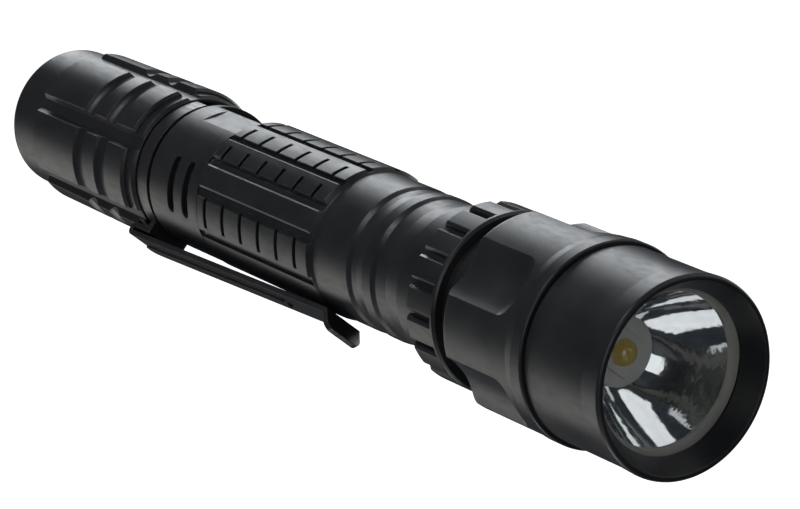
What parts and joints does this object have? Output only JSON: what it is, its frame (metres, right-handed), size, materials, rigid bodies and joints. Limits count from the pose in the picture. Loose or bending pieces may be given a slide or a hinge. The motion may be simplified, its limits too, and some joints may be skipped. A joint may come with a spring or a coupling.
{
  "type": "tactical flashlight",
  "caption": "Black machined torch with a twisting scalloped head, grooved grip tube, pocket clip and a screwed tail cap with a recessed push button.",
  "frame": {"origin": "centre of the tail's flat rest face, on the torch's axis", "axes": "+Z along the torch's axis towards the light, +X towards the pocket clip, +Y completes a right-handed frame"},
  "size_m": [0.0262, 0.0262, 0.1463],
  "materials": {
    "anodised": "black hard anodising, fine satin, edges slightly worn",
    "clip_black": "black oxide on spring steel, semi-gloss",
    "spring_wire": "plated spring wire",
    "rubber_black": "moulded, matt",
    "gasket": "soft pale silicone, matt",
    "housing": "moulded, fine grain",
    "plunger": "moulded, smooth",
    "circuit_board": "solder mask over glass laminate",
    "brass": "turned, fine tool marks",
    "bare_aluminium": "turned, uncoated",
    "star_white": "metal board with white mask",
    "washer_steel": "stamped sheet",
    "screw_steel": "plated, slotted",
    "cell_can": "printed sleeve over a metal can, no lettering",
    "cell_metal": "nickel plated",
    "ceramic": "light source base, matt",
    "phosphor": "clear silicone dome over a yellow layer",
    "spacer": "moulded, white",
    "mirror_metal": "smooth evaporated metal",
    "glass": "polished, thin coating"
  },
  "bodies": {
    "cap": {"tail_cap": "anodised", "switch_boot": "rubber_black", "boot_washer": "washer_steel", "switch_housing": "housing", "press_spring": "spring_wire", "switch_board": "circuit_board", "switch_ring": "brass", "tail_spring": "spring_wire"},
    "button": {"plunger": "plunger"},
    "seal": {"tail_seal": "rubber_black"},
    "tube": {"battery_tube": "anodised", "rear_cell": "cell_can", "front_cell": "cell_can", "cell_contacts": "cell_metal", "clip_base": "clip_black", "front_seal": "rubber_black"},
    "clip": {"clip_arm": "clip_black"},
    "head": {"head_sleeve": "anodised", "front_contact": "brass", "driver_board": "circuit_board", "driver_ring": "brass", "heat_sink": "bare_aluminium", "star_board": "star_white", "star_screws": "screw_steel", "led_base": "ceramic", "led_dome": "phosphor", "led_spacer": "spacer", "reflector": "mirror_metal", "lens_gasket": "gasket", "lens": "glass", "bezel": "anodised"}
  },
  "joints": [
    {"name": "press", "type": "slide", "parent": "cap", "child": "button", "axis": [0, 0, 1], "range_m": [0, 0.0016], "stiffness_N_per_m": 600, "deforming": ["press_spring", "switch_boot"]},
    {"name": "tube_rise", "type": "slide", "parent": "cap", "child": "seal", "axis": [0, 0, 1], "range_m": [0, 0.005], "deforming": ["tail_spring"]},
    {"name": "cap_turn", "type": "hinge", "parent": "seal", "child": "tube", "pos_m": [0, 0, 0.0323], "axis": [0, 0, 1], "range_deg": [0, 1800]},
    {"name": "clip_flex", "type": "hinge", "parent": "tube", "child": "clip", "pos_m": [0.01153, 0, 0.0346], "axis": [0, 1, 0], "range_deg": [0, 5], "stiffness_Nm_per_rad": 0.4},
    {"name": "head_turn", "type": "hinge", "parent": "tube", "child": "head", "pos_m": [0, 0, 0.1155], "axis": [0, 0, 1], "range_deg": [0, 90]}
  ],
  "couplings": [
    {"joint": "cap_turn", "follows": "tube_rise", "rad_per_m": 6283.2}
  ]
}
